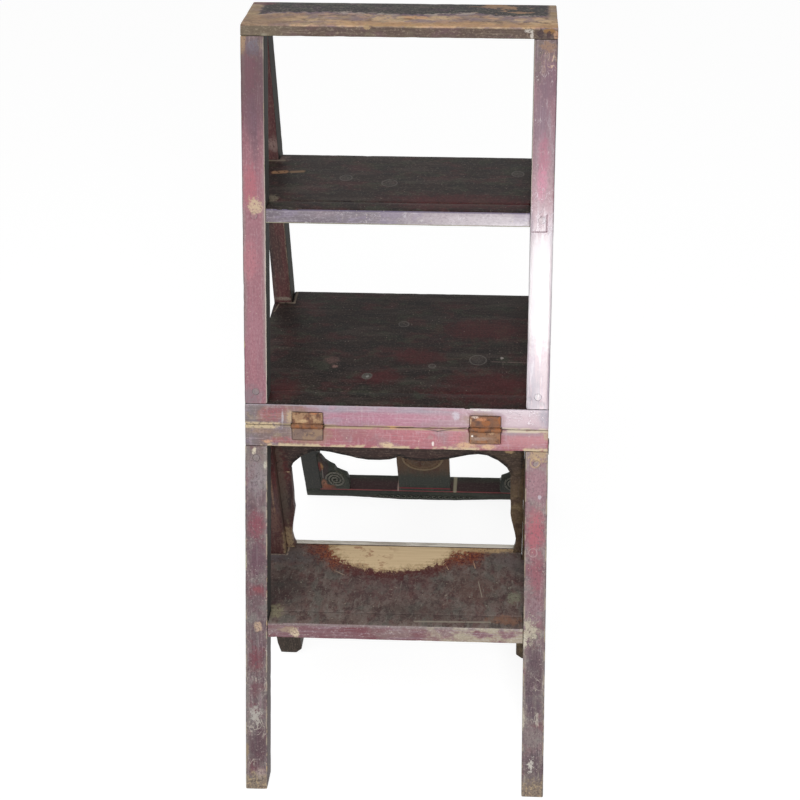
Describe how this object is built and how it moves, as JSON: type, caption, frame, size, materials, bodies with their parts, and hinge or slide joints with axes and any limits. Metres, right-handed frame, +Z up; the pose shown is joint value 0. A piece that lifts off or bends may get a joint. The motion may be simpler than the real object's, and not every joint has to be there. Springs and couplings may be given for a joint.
{
  "type": "folding step-chair",
  "caption": "Red-lacquered wooden side chair that folds over on two iron butt hinges into library steps, shown opened out as steps.",
  "frame": {"origin": "on the floor under the middle of the opened steps", "axes": "+X to the climber's right, +Y away from the climber, towards the chair's back, +Z up"},
  "size_m": [0.424, 0.6432, 0.9003],
  "materials": {
    "red_lacquer": "worn rose-red lacquer with a soft sheen",
    "dark_lacquer": "dark brown-red lacquer, rubbed at the edges",
    "under_lacquer": "dull dark lacquer",
    "tread_wood": "brown-black lacquer, scuffed, with red showing",
    "top_wood": "lacquer worn to bare wood",
    "back_lacquer": "greenish-black lacquer with red lines",
    "peg_wood": "bare end grain",
    "iron": "rusted forged iron"
  },
  "bodies": {
    "front_half": {"lower_stile_left": "red_lacquer", "lower_stile_right": "red_lacquer", "front_leg_left": "dark_lacquer", "front_leg_right": "dark_lacquer", "lower_hinge_rail": "red_lacquer", "front_apron": "dark_lacquer", "apron_strip_left": "dark_lacquer", "apron_strip_right": "dark_lacquer", "lower_step_board": "tread_wood", "lower_step_rail": "red_lacquer", "lower_side_rail_left": "under_lacquer", "lower_side_rail_right": "under_lacquer", "lower_rear_rail": "under_lacquer", "lower_hinge_leaf_left": "iron", "lower_hinge_leaf_right": "iron", "hinge_pin_left": "iron", "hinge_pin_right": "iron", "lower_hinge_nails": "iron", "lower_stile_pegs": "peg_wood", "lower_step_nails": "iron"},
    "rear_half": {"upper_stile_left": "red_lacquer", "upper_stile_right": "red_lacquer", "rear_post_left": "dark_lacquer", "rear_post_right": "dark_lacquer", "upper_hinge_rail": "red_lacquer", "seat_board": "tread_wood", "seat_panel": "under_lacquer", "seat_side_rail_left": "under_lacquer", "seat_side_rail_right": "under_lacquer", "seat_rear_rail": "under_lacquer", "upper_step_board": "tread_wood", "upper_step_rail": "red_lacquer", "upper_side_rail_left": "under_lacquer", "upper_side_rail_right": "under_lacquer", "upper_rear_rail": "under_lacquer", "top_board": "top_wood", "crest_rail": "back_lacquer", "back_splat": "back_lacquer", "scroll_bracket_left": "back_lacquer", "scroll_bracket_right": "back_lacquer", "upper_hinge_leaf_left": "iron", "upper_hinge_leaf_right": "iron", "upper_hinge_nails": "iron", "upper_stile_pegs": "peg_wood", "seat_board_nails": "iron", "upper_step_nails": "iron", "top_board_nails": "iron"}
  },
  "joints": [
    {"name": "fold", "type": "hinge", "parent": "front_half", "child": "rear_half", "pos_m": [0, -0.08228, 0.45015], "axis": [1, 0, 0], "range_deg": [0, 180]}
  ]
}
